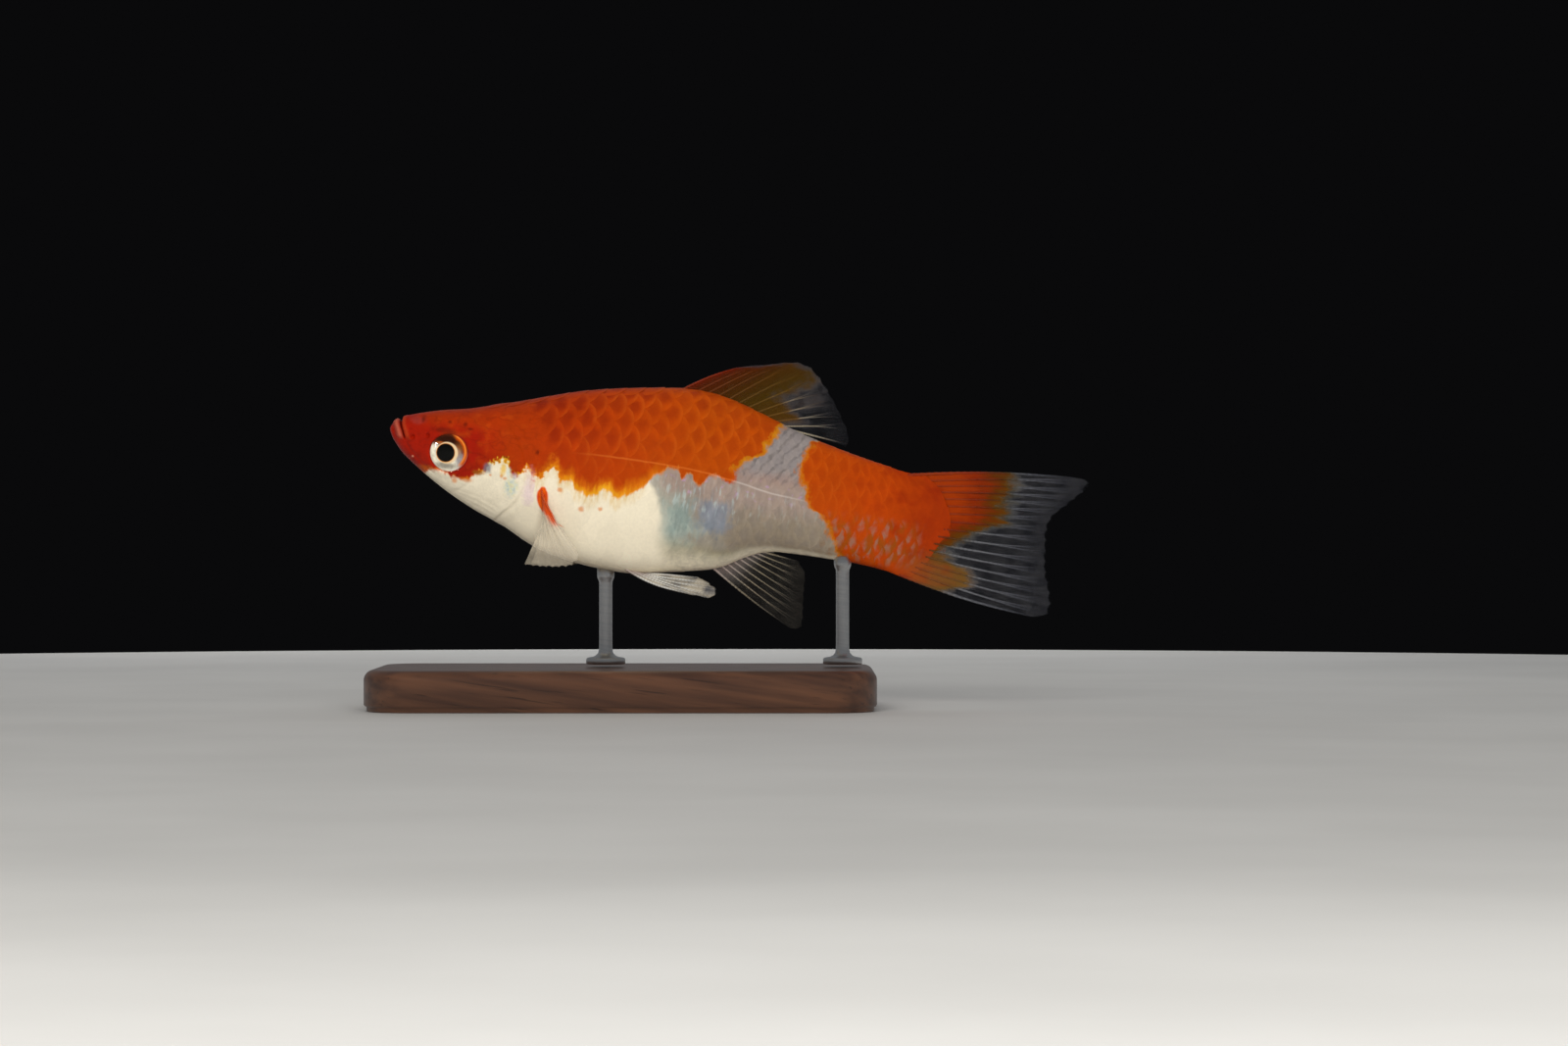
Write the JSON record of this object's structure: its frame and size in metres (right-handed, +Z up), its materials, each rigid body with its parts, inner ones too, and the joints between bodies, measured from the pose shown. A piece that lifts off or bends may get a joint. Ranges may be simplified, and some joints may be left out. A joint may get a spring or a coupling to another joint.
{
  "type": "swordtail fish, life-size display model",
  "caption": "Life-size still model of a female swordtail fish in orange, red and white, head raised a little, held over a flat base by two short rods.",
  "frame": {"origin": "middle of the underside of the whole model's box, on the level the stand rests on", "axes": "+X towards the tail, -X towards the snout, +Z up; the fish's left side faces -Y"},
  "size_m": [0.0768, 0.027, 0.037],
  "materials": {
    "red_skin": "moist scaled skin, orange red",
    "white_skin": "moist skin, pearly cream",
    "fin": "thin clear membrane over pale rays",
    "eye": "wet, glossy",
    "stand_wood": "dark oiled hardwood",
    "stand_metal": "fine brushed"
  },
  "bodies": {
    "root": {"head": "red_skin", "lower_jaw": "red_skin", "gill_cover_left": "white_skin", "gill_cover_right": "white_skin", "eye_left": "eye", "eye_right": "eye", "trunk": "red_skin", "tail_stalk": "red_skin", "dorsal_fin": "fin", "anal_fin": "fin", "tail_fin": "fin", "pectoral_fin_left": "fin", "pectoral_fin_right": "fin", "pelvic_fin_left": "fin", "pelvic_fin_right": "fin", "stand_base": "stand_wood", "stand_rod_front": "stand_metal", "stand_rod_rear": "stand_metal"}
  },
  "joints": []
}
